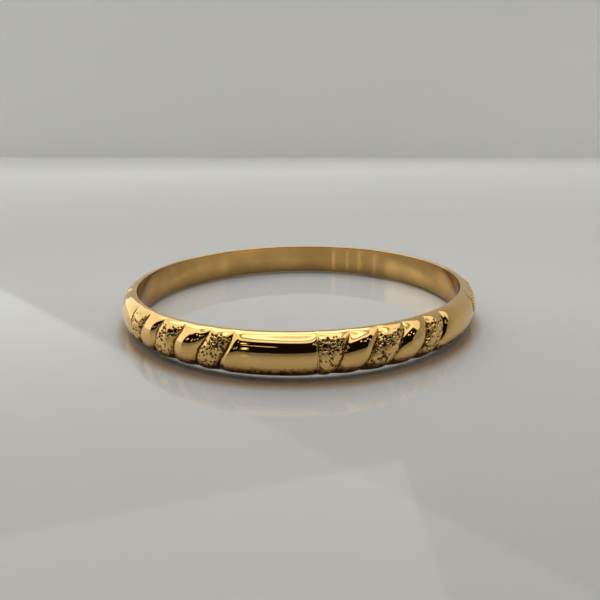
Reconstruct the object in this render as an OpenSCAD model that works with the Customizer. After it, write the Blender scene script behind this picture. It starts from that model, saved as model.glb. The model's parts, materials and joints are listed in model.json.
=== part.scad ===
// Slip-on bangle bracelet with a twisted nugget relief.
//
// Hollow two-skin construction. Six struck shells carry the relief and meet end to
// end over internal tongues. A flat liner strip closes them on the inside. Solder
// fills the butt joints, the liner's own joint and a fillet along each rim.
//
// Millimetres, +Z up. The origin is on the bangle's axis at its lower rim. Angles run
// anticlockwise seen from above, from the middle of the front panel, which faces -Y.

/* [Opening] */
// Inside diameter
inner_d = 63.5; // [57.15:3.175:69.85]

/* [Band] */
// Height along the bangle's axis
band_h = 6.7; // [6:0.1:9]
// Thickness from the inner wall to the crest of the relief
band_t = 3; // [3:0.1:4]
// Fullness of the outer curve: 2 is an ellipse, more is squarer
fullness = 2.1; // [2:0.1:3]

/* [Sheet] */
// Wall of the struck shells
shell_wall = 0.4; // [0.3:0.05:0.5]
// Wall of the liner strip
liner_wall = 0.4; // [0.3:0.05:0.5]

/* [Relief] */
// Depth of the leaning grooves below the crests
groove_depth = 0.85; // [0.4:0.05:0.9]
// Depth of the shallower upright groove at each joint
joint_depth = 0.4; // [0.2:0.05:0.5]
// Angle by which the top of a groove is turned past its foot
groove_lean = 5; // [0:0.5:5.5]
// Angle taken by the long plain panel in each repeat
panel_angle = 23.6; // [20:0.2:25]

/* [Joints] */
// Angle by which a tongue reaches into the shell on each side
tongue_reach = 2.5; // [1.5:0.5:2.5]
// Width of a soldered butt seam
seam_w = 0.12; // [0.08:0.02:0.2]
// Size of the solder fillet along each rim
rim_fillet = 0.25; // [0.15:0.05:0.25]

/* [Hidden] */
segments = 6;
pitch = 360 / segments;

// Relative widths of the lobes beside the panel: nugget, polished, nugget, polished,
// nugget. The panel is the sixth lobe.
lobe_shares = [5.9, 7.7, 7.8, 8.3, 6.9];
lobes = len(lobe_shares);
lobe_columns = 7;
panel_columns = 9;
// Part of a lobe's width over which each side rolls down into its groove
lobe_roll = [0.5, 0.5];
panel_roll = [0.16, 0.22];
// Steps from the lower rim to the upper rim, and how late the relief fades at each rim
profile_rows = 12;
foot_fade = 16;
shoulder_fade = 7;

// Clearance that keeps the shells' flat facets off the round liner, and slack of a
// tongue inside its shells
facet_gap = 0.01;
tongue_slack = 0.05;

inner_r = inner_d / 2;
liner_r = inner_r + liner_wall;
shell_r = liner_r + facet_gap;
crest_t = band_t - liner_wall - facet_gap;
seam_half = atan(seam_w / 2 / (shell_r + crest_t / 2));
first_joint = panel_angle / 2;

// Grooves of one segment, in degrees past its first joint. The first and last are the
// butt joints, cut square, and the others lean.
function sum_to(list, n) = n == 0 ? 0 : list[n - 1] + sum_to(list, n - 1);
lobe_scale = (pitch - panel_angle) / sum_to(lobe_shares, lobes);
grooves = [
    seam_half,
    for (i = [1:lobes]) sum_to(lobe_shares, i) * lobe_scale,
    pitch - seam_half
];
function lean(i) = i == 0 || i == len(grooves) - 1 ? 0 : groove_lean;

// Columns of one segment as [lobe, place across the lobe], closer beside the grooves
function eased(i, n) = (1 - cos(180 * i / n)) / 2;
columns = [
    for (lobe = [0:lobes])
        let (n = lobe < lobes ? lobe_columns : panel_columns)
        for (i = [0:n - 1]) [lobe, eased(i, n)],
    [lobes, 1]
];
profile_angles = [for (j = [0:profile_rows]) -90 + 180 * j / profile_rows];

// Height of the relief across a lobe, from 0 in its grooves to 1 on its crest
function roll_off(x, roll) =
    let (q = x < roll[0] ? 1 - x / roll[0]
           : x > 1 - roll[1] ? 1 - (1 - x) / roll[1] : 0)
    sqrt(max(0, 1 - q * q));

// Inset of the outer skin at relief height 0 to 1, which dies away at both rims
function rim_fade(p) = 1 - pow(abs(sin(p)), p < 0 ? foot_fade : shoulder_fade);
function depth(i) = i == 0 || i == len(grooves) - 1 ? joint_depth : groove_depth;
function column_inset(column, p) =
    let (
        lobe = column[0],
        x = column[1],
        height = roll_off(x, lobe < lobes ? lobe_roll : panel_roll)
    )
    depth(x < 0.5 ? lobe : lobe + 1) * (1 - height) * rim_fade(p);

// The D-shaped section at profile angle p, from -90 on the lower rim to 90 on the
// upper one: [radius, height], inset square to the crest line
function rise(p) = sign(p) * pow(abs(sin(p)), 2 / fullness) / 2;
function section_point(p, inset) = [
    shell_r + crest_t * pow(cos(p), 2 / fullness) - inset * cos(p),
    band_h / 2 + band_h * rise(p) - inset * sin(p)
];

// Angle of a column at profile angle p, in degrees past the segment's first joint
function column_angle(column, p) =
    let (
        i = column[0],
        from = grooves[i] + lean(i) * rise(p),
        to = grooves[i + 1] + lean(i + 1) * rise(p)
    )
    from + (to - from) * column[1];

function turned(point, a) = [point[0] * sin(a), -point[0] * cos(a), point[1]];

// One column as a closed loop: up the outer skin, then down the inner skin
function column_loop(column, start) = concat(
    [for (p = profile_angles)
        turned(section_point(p, column_inset(column, p)),
               start + column_angle(column, p))],
    [for (j = [profile_rows:-1:0])
        let (p = profile_angles[j])
        turned(section_point(p, column_inset(column, p) + shell_wall),
               start + column_angle(column, p))]
);

// A struck shell from one butt joint to the next
module shell_segment(k) {
    loop = 2 * (profile_rows + 1);
    last = len(columns) - 1;
    start = first_joint + (k - 1) * pitch;
    points = [for (column = columns) each column_loop(column, start)];
    skins = [
        for (c = [0:last - 1], j = [0:loop - 1])
            let (a = c * loop + j, b = c * loop + (j + 1) % loop)
            each [[a, b, b + loop], [a, b + loop, a + loop]]
    ];
    ends = [
        for (j = [0:profile_rows - 1])
            let (outer = j, inner = loop - 1 - j, far = last * loop)
            each [
                [outer, inner, inner - 1, outer + 1],
                [far + outer + 1, far + inner - 1, far + inner, far + outer]
            ]
    ];
    color("gold")
        polyhedron(points, concat(skins, ends), convexity = 6);
}

// A section swept round the axis, centred on an angle
module swept(section, middle, angle) {
    rotate([0, 0, middle - angle / 2 - 90])
        rotate_extrude(angle = angle, $fn = 180)
            polygon(section);
}

function joint_angle(k) = first_joint + (k - 1) * pitch;

// A solid plug that lines up two shells and backs their butt joint
module joint_tongue(k) {
    inset = joint_depth + shell_wall + tongue_slack;
    section = [for (p = profile_angles) section_point(p, inset)];
    color("darkgoldenrod")
        swept(section, joint_angle(k), 2 * tongue_reach);
}

// Solder in a butt joint, with the section of the shells' ends
module joint_solder(k) {
    section = concat(
        [for (p = profile_angles) section_point(p, joint_depth * rim_fade(p))],
        [for (j = [profile_rows:-1:0])
            let (p = profile_angles[j])
            section_point(p, joint_depth * rim_fade(p) + shell_wall)]
    );
    color("khaki")
        swept(section, joint_angle(k), 2 * seam_half);
}

// The liner's flat section, with an outer edge bevelled for solder at each rim
liner_section = [
    [inner_r, 0],
    [liner_r - rim_fillet, 0],
    [liner_r, rim_fillet],
    [liner_r, band_h - rim_fillet],
    [liner_r - rim_fillet, band_h],
    [inner_r, band_h]
];

// A flat strip bent to the wrist opening, its ends meeting behind the front panel
module inner_liner() {
    color("goldenrod")
        swept(liner_section, 180, 360 - 2 * seam_half);
}

module liner_solder() {
    color("khaki")
        swept(liner_section, 0, 2 * seam_half);
}

// Solder between the liner's bevel and the shells' edges, on the lower rim
module rim_solder_lower() {
    section = [[liner_r - rim_fillet, 0], [liner_r, 0], [liner_r, rim_fillet]];
    color("khaki")
        rotate_extrude($fn = 180)
            polygon(section);
}

module rim_solder_upper() {
    translate([0, 0, band_h])
        mirror([0, 0, 1])
            rim_solder_lower();
}

for (k = [1:segments]) {
    shell_segment(k);
    joint_tongue(k);
    joint_solder(k);
}
inner_liner();
liner_solder();
rim_solder_lower();
rim_solder_upper();
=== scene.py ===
"""Gold slip-on bangle with a twisted nugget relief: the finished looks on the CAD frame.

Six struck shells carry the relief. Each is a fine closed mesh whose grid lines follow
the leaning grooves, so that every groove stays crisp. The bangle's lengths are in
millimetres until a mesh is made, and those of the stage, camera and lights are in
metres. Angles run anticlockwise seen from above, from the front panel at -Y.
"""
import json
import math

import bpy
import numpy as np
from mathutils import Matrix, Vector


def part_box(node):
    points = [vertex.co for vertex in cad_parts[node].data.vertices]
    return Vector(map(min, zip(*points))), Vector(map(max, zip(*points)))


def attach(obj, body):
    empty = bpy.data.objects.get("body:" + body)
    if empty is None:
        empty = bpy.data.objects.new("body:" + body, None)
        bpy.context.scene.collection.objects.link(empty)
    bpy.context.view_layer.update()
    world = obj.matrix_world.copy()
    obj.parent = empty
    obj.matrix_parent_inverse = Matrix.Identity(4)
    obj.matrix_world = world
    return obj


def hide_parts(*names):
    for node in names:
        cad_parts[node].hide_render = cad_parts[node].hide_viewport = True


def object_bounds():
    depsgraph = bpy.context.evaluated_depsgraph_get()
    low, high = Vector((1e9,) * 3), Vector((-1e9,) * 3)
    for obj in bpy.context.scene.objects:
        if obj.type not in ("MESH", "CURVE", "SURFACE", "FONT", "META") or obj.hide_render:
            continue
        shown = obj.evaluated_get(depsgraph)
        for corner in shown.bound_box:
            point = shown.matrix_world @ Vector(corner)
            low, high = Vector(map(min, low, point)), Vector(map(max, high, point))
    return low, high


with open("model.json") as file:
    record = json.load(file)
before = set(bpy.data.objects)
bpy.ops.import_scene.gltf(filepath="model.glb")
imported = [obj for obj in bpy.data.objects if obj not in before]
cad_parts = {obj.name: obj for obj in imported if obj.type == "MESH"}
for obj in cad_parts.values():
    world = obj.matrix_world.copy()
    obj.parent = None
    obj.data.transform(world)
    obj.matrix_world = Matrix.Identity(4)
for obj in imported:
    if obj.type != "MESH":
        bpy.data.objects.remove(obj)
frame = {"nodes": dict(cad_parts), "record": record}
cad_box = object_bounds()

# ---------------------------------------------------------------- sizes from the frame
MM = 0.001
mounts = {m["name"]: m for m in frame["record"]["mounts"]}
liner_low, liner_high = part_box("inner_liner")

INNER_R = mounts["wrist_opening"]["dims"]["r_mm"]
BAND_H = (liner_high[2] - liner_low[2]) / MM
LINER_R = (liner_high[0] - liner_low[0]) / 2 / MM
CREST_R = (cad_box[1][0] - cad_box[0][0]) / 2 / MM

# ---------------------------------------------------------------- the relief's layout
SEGMENTS = 6
PITCH = 360 / SEGMENTS
PANEL_ANGLE = 23.6
FIRST_JOINT = PANEL_ANGLE / 2
LOBE_SHARES = (5.9, 7.7, 7.8, 8.3, 6.9)
LOBES = len(LOBE_SHARES)
NUGGETS = (0, 2, 4)
SEAM_W = 0.12

FACET_GAP = 0.01
SHELL_R = LINER_R + FACET_GAP
CREST_T = CREST_R - SHELL_R
SHELL_WALL = 0.4
FULLNESS = 2.1

GROOVE_DEPTH = 0.85
JOINT_DEPTH = 0.4
GROOVE_LEAN = 5.0
# How late the relief fades at the lower and at the upper rim
FOOT_FADE = 16
SHOULDER_FADE = 7
# How much of a groove's lean is a straight line; the rest bends it near the rims
LEAN_STRAIGHT = (0.62, 1.0)
# Each groove also wavers by this many degrees, with this many radians from rim to rim
GROOVE_WIGGLE = 0.22
WIGGLE_TURN = 7
# Part of a lobe's width over which each side rolls down, and how square the roll is
NUGGET_ROLL = (0.45, 0.45)
POLISHED_ROLL = (0.50, 0.42)
PANEL_ROLL = (0.15, 0.15)
ROLL_POWER = 2.0

# Grid: columns across each kind of lobe, and steps of the outer and inner skins
NUGGET_COLUMNS = 84
POLISHED_COLUMNS = 56
PANEL_COLUMNS = 110
OUTER_ROWS = 136
INNER_ROWS = 14
# How much closer than average the columns stand beside a groove
COLUMN_CROWDING = 0.55
# Points over which the profile's length is measured
PROFILE_SAMPLES = 2001
# Radius at which lengths along the band are measured
BAND_MIDDLE_R = CREST_R - 0.5

# ---------------------------------------------------------------- nugget texture
# Lumps: size of a patch and height. They grow over this part of a lobe's roll
LUMPS = ((1.6, 0.075), (0.8, 0.016))
LUMPS_GROW = (0.0, 0.55)
# Pits by height: how many in the lower half, and in the crowded upper half, which
# starts this far above the middle
PITS_PER_MM2 = (2.7, 2.9)
UPPER_FROM = 0.02
PIT_RADIUS = ((0.13, 0.22), (0.16, 0.29))
PIT_DEPTH = (0.14, 0.26)
# How much longer than wide a pit is: up to PIT_LENGTH, and a draw below 0 leaves it round
PIT_LENGTH = 0.12
PIT_LONG = (-0.6, 1.0)
# In radii of the pit: where its bowl rises, where its lip is, the lip's width, its edge
PIT_BOWL = (0.35, 1.05)
PIT_LIP_AT = 1.2
PIT_LIP_WIDTH = 0.22
PIT_REACH = 1.7
# Height of the lip, which is left out where another pit is deeper than this
PIT_LIP = 0.02
PIT_SHALLOW = 0.01
# Pits lie between these rows, counted from the lower and from the upper rim
PIT_ROWS = (4, 12)
# Heights over which the texture fades, from -0.5 at the lower rim to 0.5 at the upper
TEXTURE_TOP = (0.40, 0.46)
TEXTURE_FOOT = (-0.46, -0.38)
# Part of a lobe's width that is darker beside a groove, with oxide and painted shade: nugget,
# polished, panel
GROOVE_PATINA_SHADE_REACH = (0.20, 0.08, 0.016)
# The least and greatest darkness of that oxide and painted shade, and the size of its patches
GROOVE_PATINA_SHADE_DEPTH = (0.40, 0.62)
GROOVE_PATINA_SHADE_PATCH = 1.1
# Painted shade on the rounded foot, standing in for the dark floor it reflects, and the heights
# over which it fades
FOOT_SHADE = 0.88
FOOT_SHADE_BAND = (-0.42, -0.09)
# Slow unevenness of the hand-polished faces: size of a wave and height
POLISH_WAVES = ((4.5, 0.012), (1.9, 0.0035))
# Shifts along the band that keep one use of the noise apart from another
POLISH_SHIFT = 91.0
GROOVE_PATINA_SHADE_SHIFT = -33.0


def eased(n, crowding):
    """n + 1 places from 0 to 1, closer together at both ends."""
    x = np.linspace(0.0, 1.0, n + 1)
    return x - crowding * np.sin(2 * math.pi * x) / (2 * math.pi)


def smooth(low, high, x):
    """0 below low, 1 above high, and a smooth step between them."""
    q = np.clip((x - low) / (high - low), 0.0, 1.0)
    return q * q * (3 - 2 * q)


def rise(p):
    """Height on the profile from -0.5 at the lower rim to 0.5 at the upper, at angle p."""
    return np.sign(p) * np.abs(np.sin(p)) ** (2 / FULLNESS) / 2


def section(p, inset):
    """Radius and height on the D-shaped profile, inset square to the crest line."""
    radius = SHELL_R + CREST_T * np.abs(np.cos(p)) ** (2 / FULLNESS) - inset * np.cos(p)
    height = BAND_H / 2 + BAND_H * rise(p) - inset * np.sin(p)
    return radius, height


def profile_steps(n):
    """n + 1 profile angles at equal distances from rim to rim, and those distances."""
    p = np.linspace(-math.pi / 2, math.pi / 2, PROFILE_SAMPLES)
    radius, height = section(p, 0.0)
    length = np.concatenate([[0.0], np.cumsum(np.hypot(np.diff(radius), np.diff(height)))])
    places = np.linspace(0.0, length[-1], n + 1)
    return np.interp(places, length, p), places


class Noise:
    """Seeded gradient noise over the band's surface, between about -1 and 1."""

    SIZE = 256
    GAIN = 1.6
    START = 50.0

    def __init__(self, rng):
        angle = rng.uniform(0.0, 2 * math.pi, (self.SIZE, self.SIZE))
        self.gx, self.gy = np.cos(angle), np.sin(angle)

    def __call__(self, u, v, cell):
        x, y = u / cell + self.START, v / cell + self.START
        ix, iy = np.floor(x).astype(int), np.floor(y).astype(int)
        fx, fy = x - ix, y - iy
        sx = fx ** 3 * (fx * (fx * 6 - 15) + 10)
        sy = fy ** 3 * (fy * (fy * 6 - 15) + 10)

        def corner(dx, dy):
            i, j = (ix + dx) % self.SIZE, (iy + dy) % self.SIZE
            return self.gx[i, j] * (fx - dx) + self.gy[i, j] * (fy - dy)

        low = corner(0, 0) * (1 - sx) + corner(1, 0) * sx
        high = corner(0, 1) * (1 - sx) + corner(1, 1) * sx
        return self.GAIN * (low * (1 - sy) + high * sy)


# ---------------------------------------------------------------- one segment's relief
seam_half = math.degrees(math.atan(SEAM_W / 2 / (SHELL_R + CREST_T / 2)))
lobe_scale = (PITCH - PANEL_ANGLE) / sum(LOBE_SHARES)
grooves = np.concatenate(
    [[seam_half], np.cumsum(LOBE_SHARES) * lobe_scale, [PITCH - seam_half]]
)
groove_depths = [JOINT_DEPTH] + [GROOVE_DEPTH] * LOBES + [JOINT_DEPTH]


def segment_columns():
    """The lobe and the place across it of every column of one segment."""
    lobes, places = [], []
    for lobe in range(LOBES + 1):
        n = NUGGET_COLUMNS if lobe in NUGGETS else POLISHED_COLUMNS
        if lobe == LOBES:
            n = PANEL_COLUMNS
        end = n + 1 if lobe == LOBES else n
        lobes += [lobe] * end
        places += list(eased(n, COLUMN_CROWDING)[:end])
    return np.array(lobes), np.array(places)


def groove_angles(rng, t):
    """The angle of every groove at heights t. The butt joints are upright."""
    lines = []
    for i, middle in enumerate(grooves):
        straight = rng.uniform(*LEAN_STRAIGHT)
        phase = rng.uniform(0.0, 2 * math.pi)
        if i in (0, len(grooves) - 1):
            lines.append(np.full_like(t, middle))
            continue
        lean = GROOVE_LEAN * (straight * t + 4 * (1 - straight) * t ** 3)
        lines.append(middle + lean + GROOVE_WIGGLE * np.sin(WIGGLE_TURN * t + phase))
    return np.array(lines)


def roll_height(lobes, places):
    """Height across a lobe, from 0 in its grooves to 1 on its crest."""
    rolls = [NUGGET_ROLL if lobe in NUGGETS else POLISHED_ROLL for lobe in range(LOBES)]
    left, right = np.array(rolls + [PANEL_ROLL])[lobes].T
    q = np.maximum(1 - places / left, 1 - (1 - places) / right)
    q = np.clip(q, 0.0, 1.0)
    return (1 - q ** ROLL_POWER) ** (1 / ROLL_POWER)


def rim_fade(p):
    """How much of the relief is left at profile angle p: none at the rims."""
    return 1 - np.abs(np.sin(p)) ** np.where(p < 0, FOOT_FADE, SHOULDER_FADE)


def base_inset(lobes, places, p):
    """Inset of the smooth relief for every column and profile angle."""
    depth = np.where(
        places < 0.5,
        np.take(groove_depths, lobes),
        np.take(groove_depths, lobes + 1),
    )
    drop = depth * (1 - roll_height(lobes, places))
    return drop[:, None] * rim_fade(p)[None, :]


def pit_field(rng, u, v, area):
    """Depth of the pits, and how far inside a pit each place is, over u, v in mm."""
    u_low, u_high, v_low, v_high = area
    v_middle = v_low + (v_high - v_low) * (0.5 + UPPER_FROM)
    spots = []
    halves = ((v_low, v_middle), (v_middle, v_high))
    for rate, (low, high), sizes in zip(PITS_PER_MM2, halves, PIT_RADIUS):
        for _ in range(int(rate * (u_high - u_low) * (high - low))):
            place = rng.uniform(u_low, u_high), rng.uniform(low, high)
            spots.append((*place, rng.uniform(*sizes)))
    depth = np.zeros_like(u)
    inside = np.zeros_like(u)
    for cu, cv, radius in spots:
        deep = rng.uniform(*PIT_DEPTH)
        half = max(0.0, rng.uniform(*PIT_LONG)) * PIT_LENGTH / 2
        turn = rng.uniform(0.0, math.pi)
        reach = radius * PIT_REACH + half
        near = (np.abs(u - cu) < reach) & (np.abs(v - cv) < reach)
        if not near.any():
            continue
        du, dv = u[near] - cu, v[near] - cv
        along = np.clip(du * math.cos(turn) + dv * math.sin(turn), -half, half)
        away = np.hypot(du - along * math.cos(turn), dv - along * math.sin(turn)) / radius
        bowl = 1 - smooth(*PIT_BOWL, away)
        lip = PIT_LIP * np.exp(-(((away - PIT_LIP_AT) / PIT_LIP_WIDTH) ** 2))
        lip = lip * (depth[near] < PIT_SHALLOW)
        depth[near] = np.maximum(depth[near], deep * bowl) - lip
        inside[near] = np.maximum(inside[near], bowl)
    return depth, inside


def shell_surface(seed):
    """The outer skin of one segment: radius, angle, height, nugget mask, and a mask of dark oxide
    in the hollows with painted shade.
    """
    rng = np.random.default_rng(seed)
    noise = Noise(rng)
    lobes, places = segment_columns()
    p, v_line = profile_steps(OUTER_ROWS)
    t = rise(p)
    lines = groove_angles(rng, t)
    left, right = lines[lobes], lines[lobes + 1]
    angle = left + (right - left) * places[:, None]

    inset = base_inset(lobes, places, p)
    height = roll_height(lobes, places)[:, None] * np.ones_like(angle)
    u = np.radians(angle) * BAND_MIDDLE_R
    v = np.ones_like(angle) * v_line[None, :]

    # Texture dies away at the rims and in the grooves
    band = smooth(*TEXTURE_FOOT, t) * (1 - smooth(*TEXTURE_TOP, t))
    nugget = np.isin(lobes, NUGGETS).astype(float)[:, None] * band[None, :]
    lumpy = nugget * smooth(*LUMPS_GROW, height)
    for cell, size in LUMPS:
        inset = inset - lumpy * size * noise(u, v, cell)
    cavity_and_shade = np.zeros_like(angle)
    for lobe in NUGGETS:
        own = lobes == lobe
        low_row, high_row = v_line[PIT_ROWS[0]], v_line[-PIT_ROWS[1]]
        area = (u[own].min(), u[own].max(), low_row, high_row)
        depth, inside = pit_field(rng, u[own], v[own], area)
        inset[own] += depth * lumpy[own]
        cavity_and_shade[own] = np.maximum(cavity_and_shade[own], inside * lumpy[own])

    plain = 1 - nugget
    for cell, size in POLISH_WAVES:
        wave = size * noise(u + POLISH_SHIFT, v, cell)
        inset = inset + plain * wave * rim_fade(p)[None, :]
    # Oxide and painted shade darken each lobe beside its grooves, in patches
    side = np.minimum(places, 1 - places)
    reach = np.where(np.isin(lobes, NUGGETS), GROOVE_PATINA_SHADE_REACH[0], GROOVE_PATINA_SHADE_REACH[1])
    reach = np.where(lobes == LOBES, GROOVE_PATINA_SHADE_REACH[2], reach)
    groove_patina_shade = (1 - smooth(0.0, 1.0, side / reach))[:, None] * rim_fade(p)[None, :]
    patchy = np.clip(0.5 + noise(u + GROOVE_PATINA_SHADE_SHIFT, v, GROOVE_PATINA_SHADE_PATCH), 0.0, 1.0)
    groove_patina_shade = groove_patina_shade * (GROOVE_PATINA_SHADE_DEPTH[0] + (GROOVE_PATINA_SHADE_DEPTH[1] - GROOVE_PATINA_SHADE_DEPTH[0]) * patchy)
    # Painted shade on the rounded foot, where the gold would reflect the dark floor beside it
    foot = FOOT_SHADE * (1 - smooth(*FOOT_SHADE_BAND, t))[None, :]
    cavity_and_shade = np.maximum(cavity_and_shade, np.maximum(groove_patina_shade, foot))
    radius, z = section(p[None, :], inset)
    return {
        "lobes": lobes, "places": places, "lines": lines, "p": p,
        "radius": radius, "z": z, "angle": angle,
        "cavity_and_shade": cavity_and_shade, "nugget": nugget * np.ones_like(angle),
        "u": u, "v": v,
    }


# ---------------------------------------------------------------- mesh building
# Edges that bend more than this stay sharp
SHARP_ANGLE = 80
# Seed of the first segment's texture; each segment has its own
FIRST_SEED = 101


def turned(radius, degrees, z):
    """Points in metres at a radius, an angle from -Y and a height."""
    radius, a, z = np.broadcast_arrays(radius, np.radians(degrees), z)
    return np.stack([radius * np.sin(a), -radius * np.cos(a), z], axis=-1) * MM


def mesh_object(name, points, faces):
    """A smooth-shaded object from an array of points and a list of faces."""
    mesh = bpy.data.meshes.new(name)
    mesh.from_pydata(points.tolist(), [], [tuple(f) for f in faces])
    mesh.update()
    mesh.polygons.foreach_set("use_smooth", [True] * len(mesh.polygons))
    mesh.set_sharp_from_angle(angle=math.radians(SHARP_ANGLE))
    piece = bpy.data.objects.new(name, mesh)
    bpy.context.scene.collection.objects.link(piece)
    return piece


def set_attribute(piece, name, values):
    """One number for each point of a piece, for its material to read."""
    layer = piece.data.attributes.new(name, "FLOAT", "POINT")
    layer.data.foreach_set("value", np.ascontiguousarray(values, np.float32).ravel())


def set_surface_map(piece, u, v):
    """A UV map in centimetres along and across the band, for grain and scratches."""
    layer = piece.data.uv_layers.new(name="band")
    corners = np.empty(len(piece.data.loops), np.int32)
    piece.data.loops.foreach_get("vertex_index", corners)
    places = np.stack([u.ravel()[corners], v.ravel()[corners]], axis=-1) / 10
    layer.data.foreach_set("uv", places.astype(np.float32).ravel())


def loop_faces(columns, loop):
    """Faces of a body whose columns each hold one closed loop of points."""
    c = np.arange(columns - 1)[:, None] * loop
    d = c + loop
    j = np.arange(loop)[None, :]
    k = (j + 1) % loop
    quads = np.stack([c + j, d + j, d + k, c + k], axis=-1).reshape(-1, 4)
    far = (columns - 1) * loop
    near_end = list(range(loop))
    far_end = [far + i for i in reversed(range(loop))]
    return quads.tolist() + [near_end, far_end]


def shell_piece(k):
    """The visual model of shell segment k, a closed thin-walled mesh."""
    start = FIRST_JOINT + (k - 1) * PITCH
    skin = shell_surface(seed=FIRST_SEED + k - 1)

    q, _ = profile_steps(INNER_ROWS)
    q = q[::-1]
    lines = np.array([np.interp(q, skin["p"], line) for line in skin["lines"]])
    left, right = lines[skin["lobes"]], lines[skin["lobes"] + 1]
    back_angle = left + (right - left) * skin["places"][:, None]
    back_inset = base_inset(skin["lobes"], skin["places"], q) + SHELL_WALL
    back_radius, back_z = section(q[None, :], back_inset)

    radius = np.concatenate([skin["radius"], back_radius], axis=1)
    angle = np.concatenate([skin["angle"], back_angle], axis=1)
    z = np.concatenate([skin["z"], back_z], axis=1)
    columns, loop = radius.shape
    points = turned(radius, start + angle, z).reshape(-1, 3)
    piece = mesh_object(f"shell_relief_{k}", points, loop_faces(columns, loop))

    def whole(values, fill):
        back = np.full((columns, len(q)), fill)
        return np.concatenate([values, back], axis=1)

    set_attribute(piece, "cavity_and_shade", whole(skin["cavity_and_shade"], 0.5))
    set_attribute(piece, "nugget", whole(skin["nugget"], 0.0))
    set_surface_map(piece, whole(skin["u"], 0.0), whole(skin["v"], 0.0))
    return piece


def ring_piece(name, radius, z, from_angle, to_angle, steps):
    """A closed section swept round the axis between two angles."""
    angles = np.linspace(from_angle, to_angle, steps + 1)
    points = turned(radius[None, :], angles[:, None], z[None, :]).reshape(-1, 3)
    piece = mesh_object(name, points, loop_faces(len(angles), len(radius)))
    length = np.radians(angles)[:, None] * INNER_R * np.ones_like(radius)[None, :]
    set_surface_map(piece, length, z[None, :] * np.ones((len(angles), 1)))
    return piece


# ---------------------------------------------------------------- materials
def new_material(name):
    """A material with a Principled shader, and its node tree, ready to wire."""
    material = bpy.data.materials.new(name)
    material.use_nodes = True
    tree = material.node_tree
    tree.nodes.clear()
    output = tree.nodes.new("ShaderNodeOutputMaterial")
    shader = tree.nodes.new("ShaderNodeBsdfPrincipled")
    tree.links.new(shader.outputs["BSDF"], output.inputs["Surface"])
    return material, tree, shader


def add_noise(tree, vector, scale, detail=3.0, roughness=0.5):
    """Noise with scale patches to a metre, or to a unit of the vector given."""
    node = tree.nodes.new("ShaderNodeTexNoise")
    node.inputs["Scale"].default_value = scale
    node.inputs["Detail"].default_value = detail
    node.inputs["Roughness"].default_value = roughness
    tree.links.new(vector, node.inputs["Vector"])
    return node.outputs["Fac"]


def add_ramp(tree, value, low, high, to_low=0.0, to_high=1.0):
    """value from low..high to to_low..to_high, held at the ends."""
    node = tree.nodes.new("ShaderNodeMapRange")
    node.inputs["From Min"].default_value = low
    node.inputs["From Max"].default_value = high
    node.inputs["To Min"].default_value = to_low
    node.inputs["To Max"].default_value = to_high
    tree.links.new(value, node.inputs["Value"])
    return node.outputs["Result"]


def add_math(tree, operation, a, b=0.0):
    """A sum or other operation on two values, each a number or another node's output."""
    node = tree.nodes.new("ShaderNodeMath")
    node.operation = operation
    for socket, value in zip(node.inputs, (a, b)):
        if isinstance(value, (int, float)):
            socket.default_value = value
        else:
            tree.links.new(value, socket)
    return node.outputs["Value"]


def add_mix(tree, factor, a, b):
    """Colour a where factor is 0 and b where it is 1."""
    node = tree.nodes.new("ShaderNodeMix")
    node.data_type = "RGBA"
    tree.links.new(factor, node.inputs["Factor"])
    for socket, value in ((node.inputs["A"], a), (node.inputs["B"], b)):
        if isinstance(value, tuple):
            socket.default_value = (*value, 1.0)
        else:
            tree.links.new(value, socket)
    return node.outputs["Result"]


def add_bump(tree, height, distance, strength, normal=None):
    """A bumped normal, on top of another one if given. The distance is in metres."""
    node = tree.nodes.new("ShaderNodeBump")
    node.inputs["Strength"].default_value = strength
    node.inputs["Distance"].default_value = distance
    tree.links.new(height, node.inputs["Height"])
    if normal is not None:
        tree.links.new(normal, node.inputs["Normal"])
    return node.outputs["Normal"]


def stretched_map(tree, along, across):
    """Band coordinates stretched so that noise becomes lines along the band."""
    source = tree.nodes.new("ShaderNodeUVMap")
    source.uv_map = "band"
    mapping = tree.nodes.new("ShaderNodeMapping")
    mapping.inputs["Scale"].default_value = (along, across, 1.0)
    tree.links.new(source.outputs["UV"], mapping.inputs["Vector"])
    return mapping.outputs["Vector"]


GOLD_PALE = (0.88, 0.60, 0.235)
GOLD_DEEP = (0.80, 0.51, 0.175)
# Dark oxide of the pits, also the colour of the painted shade beside the grooves and on the foot
PATINA_AND_SHADE = (0.060, 0.029, 0.010)
LINER_PALE = (0.82, 0.52, 0.19)
LINER_DEEP = (0.60, 0.36, 0.115)
# Painted shade of the liner's lower edge, where it meets the floor
LINER_EDGE_SHADE = (0.20, 0.11, 0.035)
SOLDER_PALE = (0.92, 0.67, 0.32)
SOLDER_DEEP = (0.84, 0.56, 0.23)
FILED_PALE = (0.80, 0.53, 0.22)
FILED_DEEP = (0.66, 0.41, 0.15)
WALL_COLOUR = (0.93, 0.925, 0.91)
# Range that most values of a noise texture fall in
NOISE_SPAN = (0.3, 0.7)
# Height over which the painted shade on the liner's lower edge fades
LINER_SHADE_TOP = 0.0030


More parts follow.
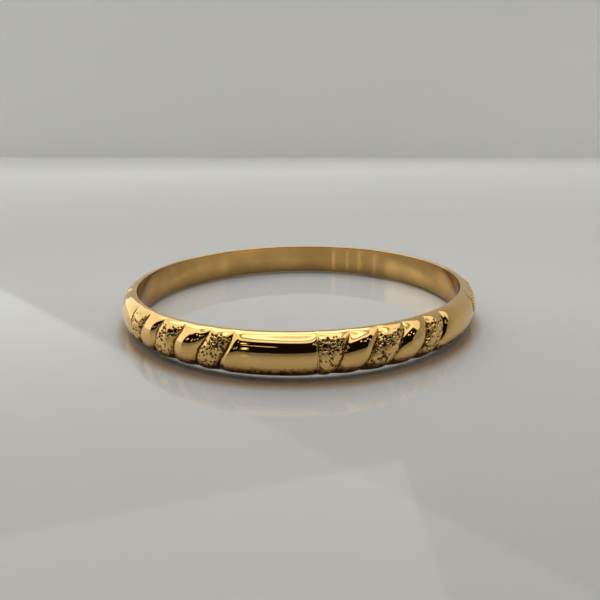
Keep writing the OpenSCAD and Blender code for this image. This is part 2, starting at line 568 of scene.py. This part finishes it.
def shell_material():
    """Hand-polished gold, darkened by oxide in the pits, by oxide and painted shade beside the
    grooves, and by painted shade on the rounded foot.
    """
    material, tree, shader = new_material("polished_gold")
    shader.inputs["Metallic"].default_value = 1.0
    place = tree.nodes.new("ShaderNodeTexCoord").outputs["Object"]
    cavity_and_shade = tree.nodes.new("ShaderNodeAttribute")
    cavity_and_shade.attribute_name = "cavity_and_shade"
    nugget = tree.nodes.new("ShaderNodeAttribute")
    nugget.attribute_name = "nugget"

    tone = add_ramp(tree, add_noise(tree, place, 260.0), *NOISE_SPAN)
    gold = add_mix(tree, tone, GOLD_PALE, GOLD_DEEP)
    mottle = add_ramp(tree, add_noise(tree, place, 1800.0, detail=4.0), *NOISE_SPAN, -0.22, 0.22)
    # Oxide in the pits, and painted shade beside the grooves and on the foot, draw the gold
    # towards the dark colour
    patina_shade_mottled = add_math(tree, "ADD", cavity_and_shade.outputs["Fac"], mottle)
    patina_shade_mix = add_ramp(tree, patina_shade_mottled, 0.25, 0.75, 0.0, 0.95)
    tree.links.new(add_mix(tree, patina_shade_mix, gold, PATINA_AND_SHADE), shader.inputs["Base Color"])

    fine = add_noise(tree, stretched_map(tree, 18.0, 300.0), 1.0, detail=5.0, roughness=0.65)
    polish = add_ramp(tree, fine, 0.35, 0.75, 0.03, 0.08)
    dull = add_ramp(tree, nugget.outputs["Fac"], 0.0, 1.0, 0.0, 0.04)
    dirty = add_ramp(tree, patina_shade_mix, 0.0, 1.0, 0.0, 0.3)
    clean = add_math(tree, "ADD", polish, dull)
    tree.links.new(add_math(tree, "ADD", clean, dirty), shader.inputs["Roughness"])

    grain = add_noise(tree, place, 5200.0, detail=3.0)
    nugget_bump = add_math(tree, "MULTIPLY", grain, nugget.outputs["Fac"])
    scratches = add_bump(tree, fine, 0.000004, 0.35)
    bumps = add_bump(tree, nugget_bump, 0.00002, 0.6, normal=scratches)
    tree.links.new(bumps, shader.inputs["Normal"])
    return material


def liner_material():
    """Satin gold with fine lines round the band, a cloudy tone and painted shade along its lower
    edge.
    """
    material, tree, shader = new_material("satin_gold")
    shader.inputs["Metallic"].default_value = 1.0
    place = tree.nodes.new("ShaderNodeTexCoord").outputs["Object"]
    cloud = add_ramp(tree, add_noise(tree, place, 150.0, detail=4.0), *NOISE_SPAN)
    gold = add_mix(tree, cloud, LINER_PALE, LINER_DEEP)
    height = tree.nodes.new("ShaderNodeSeparateXYZ")
    tree.links.new(place, height.inputs["Vector"])
    # Painted shade darkens the liner towards its lower edge, where it stands on the floor
    edge = add_ramp(tree, height.outputs["Z"], 0.0, LINER_SHADE_TOP, 0.85, 0.0)
    tree.links.new(add_mix(tree, edge, gold, LINER_EDGE_SHADE), shader.inputs["Base Color"])
    lines = add_noise(tree, stretched_map(tree, 1.6, 120.0), 1.0, detail=6.0, roughness=0.7)
    tree.links.new(add_ramp(tree, lines, *NOISE_SPAN, 0.07, 0.15), shader.inputs["Roughness"])
    tree.links.new(add_bump(tree, lines, 0.000003, 0.5), shader.inputs["Normal"])
    return material


def solder_material():
    """Dressed solder, a touch paler than the sheet beside it."""
    material, tree, shader = new_material("solder_gold")
    shader.inputs["Metallic"].default_value = 1.0
    place = tree.nodes.new("ShaderNodeTexCoord").outputs["Object"]
    tone = add_ramp(tree, add_noise(tree, place, 700.0), *NOISE_SPAN)
    gold = add_mix(tree, tone, SOLDER_PALE, SOLDER_DEEP)
    tree.links.new(gold, shader.inputs["Base Color"])
    grain = add_noise(tree, place, 4000.0, detail=4.0)
    tree.links.new(add_ramp(tree, grain, *NOISE_SPAN, 0.10, 0.22), shader.inputs["Roughness"])
    tree.links.new(add_bump(tree, grain, 0.000006, 0.4), shader.inputs["Normal"])
    return material


def tongue_material():
    """Sawn and filed gold inside the joints."""
    material, tree, shader = new_material("filed_gold")
    shader.inputs["Metallic"].default_value = 1.0
    place = tree.nodes.new("ShaderNodeTexCoord").outputs["Object"]
    file_marks = add_noise(tree, place, 2600.0, detail=5.0, roughness=0.7)
    tone = add_ramp(tree, file_marks, *NOISE_SPAN)
    gold = add_mix(tree, tone, FILED_PALE, FILED_DEEP)
    tree.links.new(gold, shader.inputs["Base Color"])
    tree.links.new(add_ramp(tree, file_marks, *NOISE_SPAN, 0.32, 0.5), shader.inputs["Roughness"])
    tree.links.new(add_bump(tree, file_marks, 0.00002, 0.6), shader.inputs["Normal"])
    return material


def dress(piece, material, slot, *nodes):
    """Gives a piece its material and its body, and hides the CAD nodes it stands for. The slot is
    not used.
    """
    piece.data.materials.append(material)
    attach(piece, "root")
    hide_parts(*nodes)


# ---------------------------------------------------------------- the bangle's pieces
polished_gold = shell_material()
satin_gold = liner_material()
solder_gold = solder_material()
filed_gold = tongue_material()

for k in range(1, SEGMENTS + 1):
    dress(shell_piece(k), polished_gold, "shell_gold", f"shell_segment_{k}")

# Solder in each butt joint, flush with the shells' square ends
SEAM_STEPS = 2
outer_p, _ = profile_steps(OUTER_ROWS)
inner_p = profile_steps(INNER_ROWS)[0][::-1]
outer_r, outer_z = section(outer_p, JOINT_DEPTH * rim_fade(outer_p))
inner_r, inner_z = section(inner_p, JOINT_DEPTH * rim_fade(inner_p) + SHELL_WALL)
seam_r = np.concatenate([outer_r, inner_r])
seam_z = np.concatenate([outer_z, inner_z])
for k in range(1, SEGMENTS + 1):
    joint = FIRST_JOINT + (k - 1) * PITCH
    ends = joint - seam_half, joint + seam_half
    seam = ring_piece(f"seam_solder_{k}", seam_r, seam_z, *ends, SEAM_STEPS)
    dress(seam, solder_gold, "gold_solder", f"joint_solder_{k}")

# The liner, with softened inner edges, and the solder in its own joint
RIM_FILLET = 0.25
EDGE_ROUND = 0.16
EDGE_STEPS = 8
WALL_STEPS = 40
RING_STEPS = 900


def liner_section():
    """The liner's outline: up the inner wall, round both edges, down the bevelled back."""
    turn = np.linspace(0.0, math.pi / 2, EDGE_STEPS + 1)
    radius, z = [], []
    radius += list(INNER_R + EDGE_ROUND * (1 - np.sin(turn)))
    z += list(EDGE_ROUND * (1 - np.cos(turn)))
    radius += [INNER_R] * (WALL_STEPS - 1)
    z += list(np.linspace(EDGE_ROUND, BAND_H - EDGE_ROUND, WALL_STEPS + 1)[1:-1])
    radius += list(INNER_R + EDGE_ROUND * (1 - np.sin(turn[::-1])))
    z += list(BAND_H - EDGE_ROUND * (1 - np.cos(turn[::-1])))
    radius += [LINER_R - RIM_FILLET, LINER_R, LINER_R, LINER_R - RIM_FILLET]
    z += [BAND_H, BAND_H - RIM_FILLET, RIM_FILLET, 0.0]
    return np.array(radius)[::-1], np.array(z)[::-1]


liner_r, liner_z = liner_section()
liner = ring_piece("liner_band", liner_r, liner_z, seam_half, 360 - seam_half, RING_STEPS)
dress(liner, satin_gold, "liner_gold", "inner_liner")
liner_seam = ring_piece("liner_seam", liner_r, liner_z, -seam_half, seam_half, SEAM_STEPS)
dress(liner_seam, satin_gold, "gold_solder", "liner_solder")

# The rim solder and the tongues keep their CAD shape
for node, piece in frame["nodes"].items():
    if node.startswith(("rim_solder", "joint_tongue")):
        material = solder_gold if node.startswith("rim_solder") else filed_gold
        for slot in piece.material_slots:
            slot.material = material

# ---------------------------------------------------------------- stage
FLOOR_SIZE = 24.0
CLEAR_DEPTH = 0.0006
# The wall's distance behind the bangle, how far it is turned, and its size
WALL_BACK = 1.4
WALL_TURN = -35.6
WALL_WIDTH = 16.0
WALL_HEIGHT = 1.3


def plane(name, corners, material):
    """A flat four-cornered stage piece."""
    mesh = bpy.data.meshes.new(name)
    mesh.from_pydata(corners, [], [(0, 1, 2, 3)])
    mesh.materials.append(material)
    piece = bpy.data.objects.new(name, mesh)
    bpy.context.scene.collection.objects.link(piece)


# Painted light on the floor's base: darker in front of the bangle as painted shadow of the camera
# side, lighter behind it and lightest far off; and the distances behind the bangle's axis over
# which each gives way to the next
BASE_NEAR_SHADED = (0.43, 0.42, 0.40)
BASE_BEHIND_LIT = (0.69, 0.68, 0.65)
BASE_FAR_LIT = (0.92, 0.91, 0.88)
NEAR_FADE = (-0.10, 0.01)
BEHIND_FADE = (0.02, 0.6)
# Painted warm shadow close round the foot of the bangle, with the gold's bounce light painted
# into it: radii over which it comes and goes
CONTACT_SHADOW_INSIDE = (0.0325, 0.0345)
CONTACT_SHADOW_OUTSIDE = (0.0343, 0.0366)
CONTACT_SHADOW_COLOUR = (0.50, 0.33, 0.18)


def pale_base_material():
    """The pale matt layer under the floor's clear top, with painted light and shade, and a
    painted warm shadow round the bangle's foot.
    """
    material, tree, shader = new_material("pale_base")
    place = tree.nodes.new("ShaderNodeTexCoord").outputs["Object"]
    split = tree.nodes.new("ShaderNodeSeparateXYZ")
    tree.links.new(place, split.inputs["Vector"])
    # Painted light: darker in front as painted shadow of the camera side, lighter further back
    behind = add_ramp(tree, split.outputs["Y"], *NEAR_FADE)
    far = add_ramp(tree, split.outputs["Y"], *BEHIND_FADE)
    close = add_mix(tree, behind, BASE_NEAR_SHADED, BASE_BEHIND_LIT)
    surface = add_mix(tree, far, close, BASE_FAR_LIT)
    # Painted warm contact shadow in a ring round the bangle's foot
    distance = tree.nodes.new("ShaderNodeVectorMath")
    distance.operation = "LENGTH"
    tree.links.new(place, distance.inputs[0])
    outside = add_ramp(tree, distance.outputs["Value"], *CONTACT_SHADOW_INSIDE)
    within = add_ramp(tree, distance.outputs["Value"], *CONTACT_SHADOW_OUTSIDE, 1.0, 0.0)
    tint = add_math(tree, "MULTIPLY", outside, within)
    tree.links.new(add_mix(tree, tint, surface, CONTACT_SHADOW_COLOUR), shader.inputs["Base Color"])
    shader.inputs["Roughness"].default_value = 1.0
    shader.inputs["Specular IOR Level"].default_value = 0.0
    return material


def clear_top_material():
    """The floor's clear glossy top, which mirrors more the flatter it is looked at."""
    material = bpy.data.materials.new("clear_top")
    material.use_nodes = True
    tree = material.node_tree
    tree.nodes.clear()
    output = tree.nodes.new("ShaderNodeOutputMaterial")
    mix = tree.nodes.new("ShaderNodeMixShader")
    fresnel = tree.nodes.new("ShaderNodeFresnel")
    fresnel.inputs["IOR"].default_value = 1.45
    clear = tree.nodes.new("ShaderNodeBsdfTransparent")
    gloss = tree.nodes.new("ShaderNodeBsdfAnisotropic")
    gloss.inputs["Roughness"].default_value = 0.05
    mirrored = add_ramp(tree, fresnel.outputs["Fac"], 0.0, 0.45, 0.0, 0.45)
    tree.links.new(mirrored, mix.inputs[0])
    tree.links.new(clear.outputs["BSDF"], mix.inputs[1])
    tree.links.new(gloss.outputs["BSDF"], mix.inputs[2])
    tree.links.new(mix.outputs["Shader"], output.inputs["Surface"])
    return material


def wall_material():
    """The pale matt wall behind."""
    material, _, shader = new_material("pale_wall")
    shader.inputs["Base Color"].default_value = (*WALL_COLOUR, 1.0)
    shader.inputs["Roughness"].default_value = 0.8
    return material


def floor_layer(name, z, material):
    """A square sheet of floor at a height."""
    half = FLOOR_SIZE / 2
    corners = [(-half, -half, z), (half, -half, z), (half, half, z), (-half, half, z)]
    plane(name, corners, material)


def backdrop():
    """The wall, which stands on the floor's base."""
    half = WALL_WIDTH / 2
    low, high = -CLEAR_DEPTH, WALL_HEIGHT
    turn = Matrix.Rotation(math.radians(WALL_TURN), 3, "Z")
    outline = ((-half, low), (half, low), (half, high), (-half, high))
    corners = [turn @ Vector((x, WALL_BACK, z)) for x, z in outline]
    plane("backdrop", corners, wall_material())


floor_layer("floor", 0.0, clear_top_material())
floor_layer("floor_base", -CLEAR_DEPTH, pale_base_material())
backdrop()

# ---------------------------------------------------------------- camera
# Degrees anticlockwise from -Y, degrees up and metres from the origin; then how far the
# camera is turned away from the axis, looks down and leans
CAMERA_AZIMUTH = 7.32
CAMERA_ELEVATION = 17.98
CAMERA_DISTANCE = 0.10297
CAMERA_TURN = -0.16
CAMERA_LOOK_DOWN = 17.18
CAMERA_ROLL = -0.877
CAMERA_SENSOR = 36.0
CAMERA_LENS = 29.4
NEAREST_SEEN = 0.01


def add_camera():
    """The camera, which looks down at the front panel from a little to its right."""
    data = bpy.data.cameras.new("camera")
    data.sensor_width = CAMERA_SENSOR
    data.lens = CAMERA_LENS
    data.clip_start = NEAREST_SEEN
    camera = bpy.data.objects.new("camera", data)
    bpy.context.scene.collection.objects.link(camera)
    elevation = math.radians(CAMERA_ELEVATION)
    place = Vector((0, -math.cos(elevation), math.sin(elevation))) * CAMERA_DISTANCE
    around = Matrix.Rotation(math.radians(CAMERA_AZIMUTH), 4, "Z")
    heading = Matrix.Rotation(math.radians(CAMERA_AZIMUTH + CAMERA_TURN), 4, "Z")
    tilt = Matrix.Rotation(math.radians(90 - CAMERA_LOOK_DOWN), 4, "X")
    roll = Matrix.Rotation(math.radians(CAMERA_ROLL), 4, "Z")
    camera.matrix_world = Matrix.Translation(around @ place) @ heading @ tilt @ roll
    bpy.context.scene.camera = camera


add_camera()

# ---------------------------------------------------------------- light
def toward(azimuth, elevation):
    """Unit vector at an azimuth from -Y, anticlockwise, and an elevation, in degrees."""
    a, e = math.radians(azimuth), math.radians(elevation)
    return Vector((math.sin(a) * math.cos(e), -math.cos(a) * math.cos(e), math.sin(e)))


def area_light(name, azimuth, elevation, distance, size, watts, colour):
    """A soft rectangular light that faces the bangle, at an azimuth from the camera."""
    data = bpy.data.lights.new(name, "AREA")
    data.shape = "RECTANGLE"
    data.size, data.size_y = size
    data.energy = watts
    data.color = colour
    light = bpy.data.objects.new(name, data)
    bpy.context.scene.collection.objects.link(light)
    direction = toward(CAMERA_AZIMUTH + azimuth, elevation)
    light.location = direction * distance
    light.rotation_euler = direction.to_track_quat("Z", "Y").to_euler()


# Brightness of the room by height (sine of elevation), from the floor line to overhead
ROOM_LEVELS = (
    (0.00, 1.27), (0.55, 1.07), (0.72, 1.12), (0.86, 1.22), (0.875, 0.40), (0.90, 0.40),
    (0.94, 2.4), (0.965, 2.1), (0.985, 1.1), (1.00, 0.95),
)
# The room's tint, and the share of blue left in its bright and its other levels
ROOM_TINT = (0.98, 0.985, 0.98)
BRIGHT_LEVEL = 2
BRIGHT_BLUE = 1.04
PLAIN_BLUE = 0.97
# The dim side: how squarely a direction faces it, the height where it ends, its colour
DIM_FACING = (0.17, 0.24)
DIM_TOP = (0.745, 0.765)
DIM_COLOUR = (0.003, 0.002, 0.0015)


def room_levels(tree, height, brightest):
    """Colour ramp of the room by height, as shares of its brightest level."""
    levels = tree.nodes.new("ShaderNodeValToRGB")
    tree.links.new(height, levels.inputs["Fac"])
    stops = levels.color_ramp.elements
    for i, (place, level) in enumerate(ROOM_LEVELS):
        stop = stops[i] if i < 2 else stops.new(place)
        stop.position = place
        red, green, blue = (level / brightest * tint for tint in ROOM_TINT)
        share = PLAIN_BLUE if level < BRIGHT_LEVEL else BRIGHT_BLUE
        stop.color = (red, green, blue * share, 1.0)
    return levels.outputs["Color"]


def dim_side(tree, direction, height):
    """1 where the room is dim, as seen in reflections only, and 0 elsewhere."""
    front = tree.nodes.new("ShaderNodeVectorMath")
    front.operation = "DOT_PRODUCT"
    tree.links.new(direction, front.inputs[0])
    front.inputs[1].default_value = toward(CAMERA_AZIMUTH, 0)
    upright = add_math(tree, "POWER", height, 2.0)
    level = add_math(tree, "SQRT", add_math(tree, "SUBTRACT", 1.0, upright))
    squarely = add_math(tree, "DIVIDE", front.outputs["Value"], level)
    facing = add_ramp(tree, squarely, *DIM_FACING)
    low = add_ramp(tree, height, *DIM_TOP, 1.0, 0.0)
    camera_ray = tree.nodes.new("ShaderNodeLightPath").outputs["Is Camera Ray"]
    reflected = add_math(tree, "SUBTRACT", 1.0, camera_ray)
    return add_math(tree, "MULTIPLY", add_math(tree, "MULTIPLY", facing, low), reflected)


def build_world():
    """A pale room with a dim side behind the camera, as polished metal reflects it."""
    world = bpy.data.worlds.new("room")
    bpy.context.scene.world = world
    world.use_nodes = True
    tree = world.node_tree
    tree.nodes.clear()
    output = tree.nodes.new("ShaderNodeOutputWorld")
    background = tree.nodes.new("ShaderNodeBackground")
    tree.links.new(background.outputs["Background"], output.inputs["Surface"])
    direction = tree.nodes.new("ShaderNodeTexCoord").outputs["Generated"]
    split = tree.nodes.new("ShaderNodeSeparateXYZ")
    tree.links.new(direction, split.inputs["Vector"])
    brightest = max(level for _, level in ROOM_LEVELS)
    bright = room_levels(tree, split.outputs["Z"], brightest)
    dim = dim_side(tree, direction, split.outputs["Z"])
    room = add_mix(tree, dim, bright, DIM_COLOUR)
    tree.links.new(room, background.inputs["Color"])
    background.inputs["Strength"].default_value = brightest


build_world()
# A warm strip on the dim side, and a window high behind the bangle
area_light("strip", -24, 27, 0.8, (0.26, 0.022), 0.025, (1.0, 0.84, 0.60))
area_light("window", 195, 52, 1.0, (0.9, 0.42), 1.25, (0.98, 0.99, 1.0))
# Small lamps of the room on the dim side: azimuth, elevation, width, height
LAMPS = (
    (-31, 13, 0.016, 0.12), (-43, 14, 0.010, 0.12), (-54, 12, 0.014, 0.10),
    (-68, 14, 0.010, 0.10), (-36, 34, 0.050, 0.04), (-52, 38, 0.045, 0.04),
    (34, 36, 0.05, 0.05), (43, 30, 0.04, 0.04), (52, 36, 0.05, 0.04), (60, 24, 0.05, 0.05),
)
LAMP_LEVEL = 3.0
LAMP_DISTANCE = 0.8
LAMP_COLOUR = (1.0, 0.92, 0.78)
for k, (azimuth, elevation, *size) in enumerate(LAMPS, 1):
    watts = LAMP_LEVEL * math.pi * math.prod(size)
    area_light(f"lamp_{k}", azimuth, elevation, LAMP_DISTANCE, size, watts, LAMP_COLOUR)

bpy.context.scene.view_settings.view_transform = "Standard"
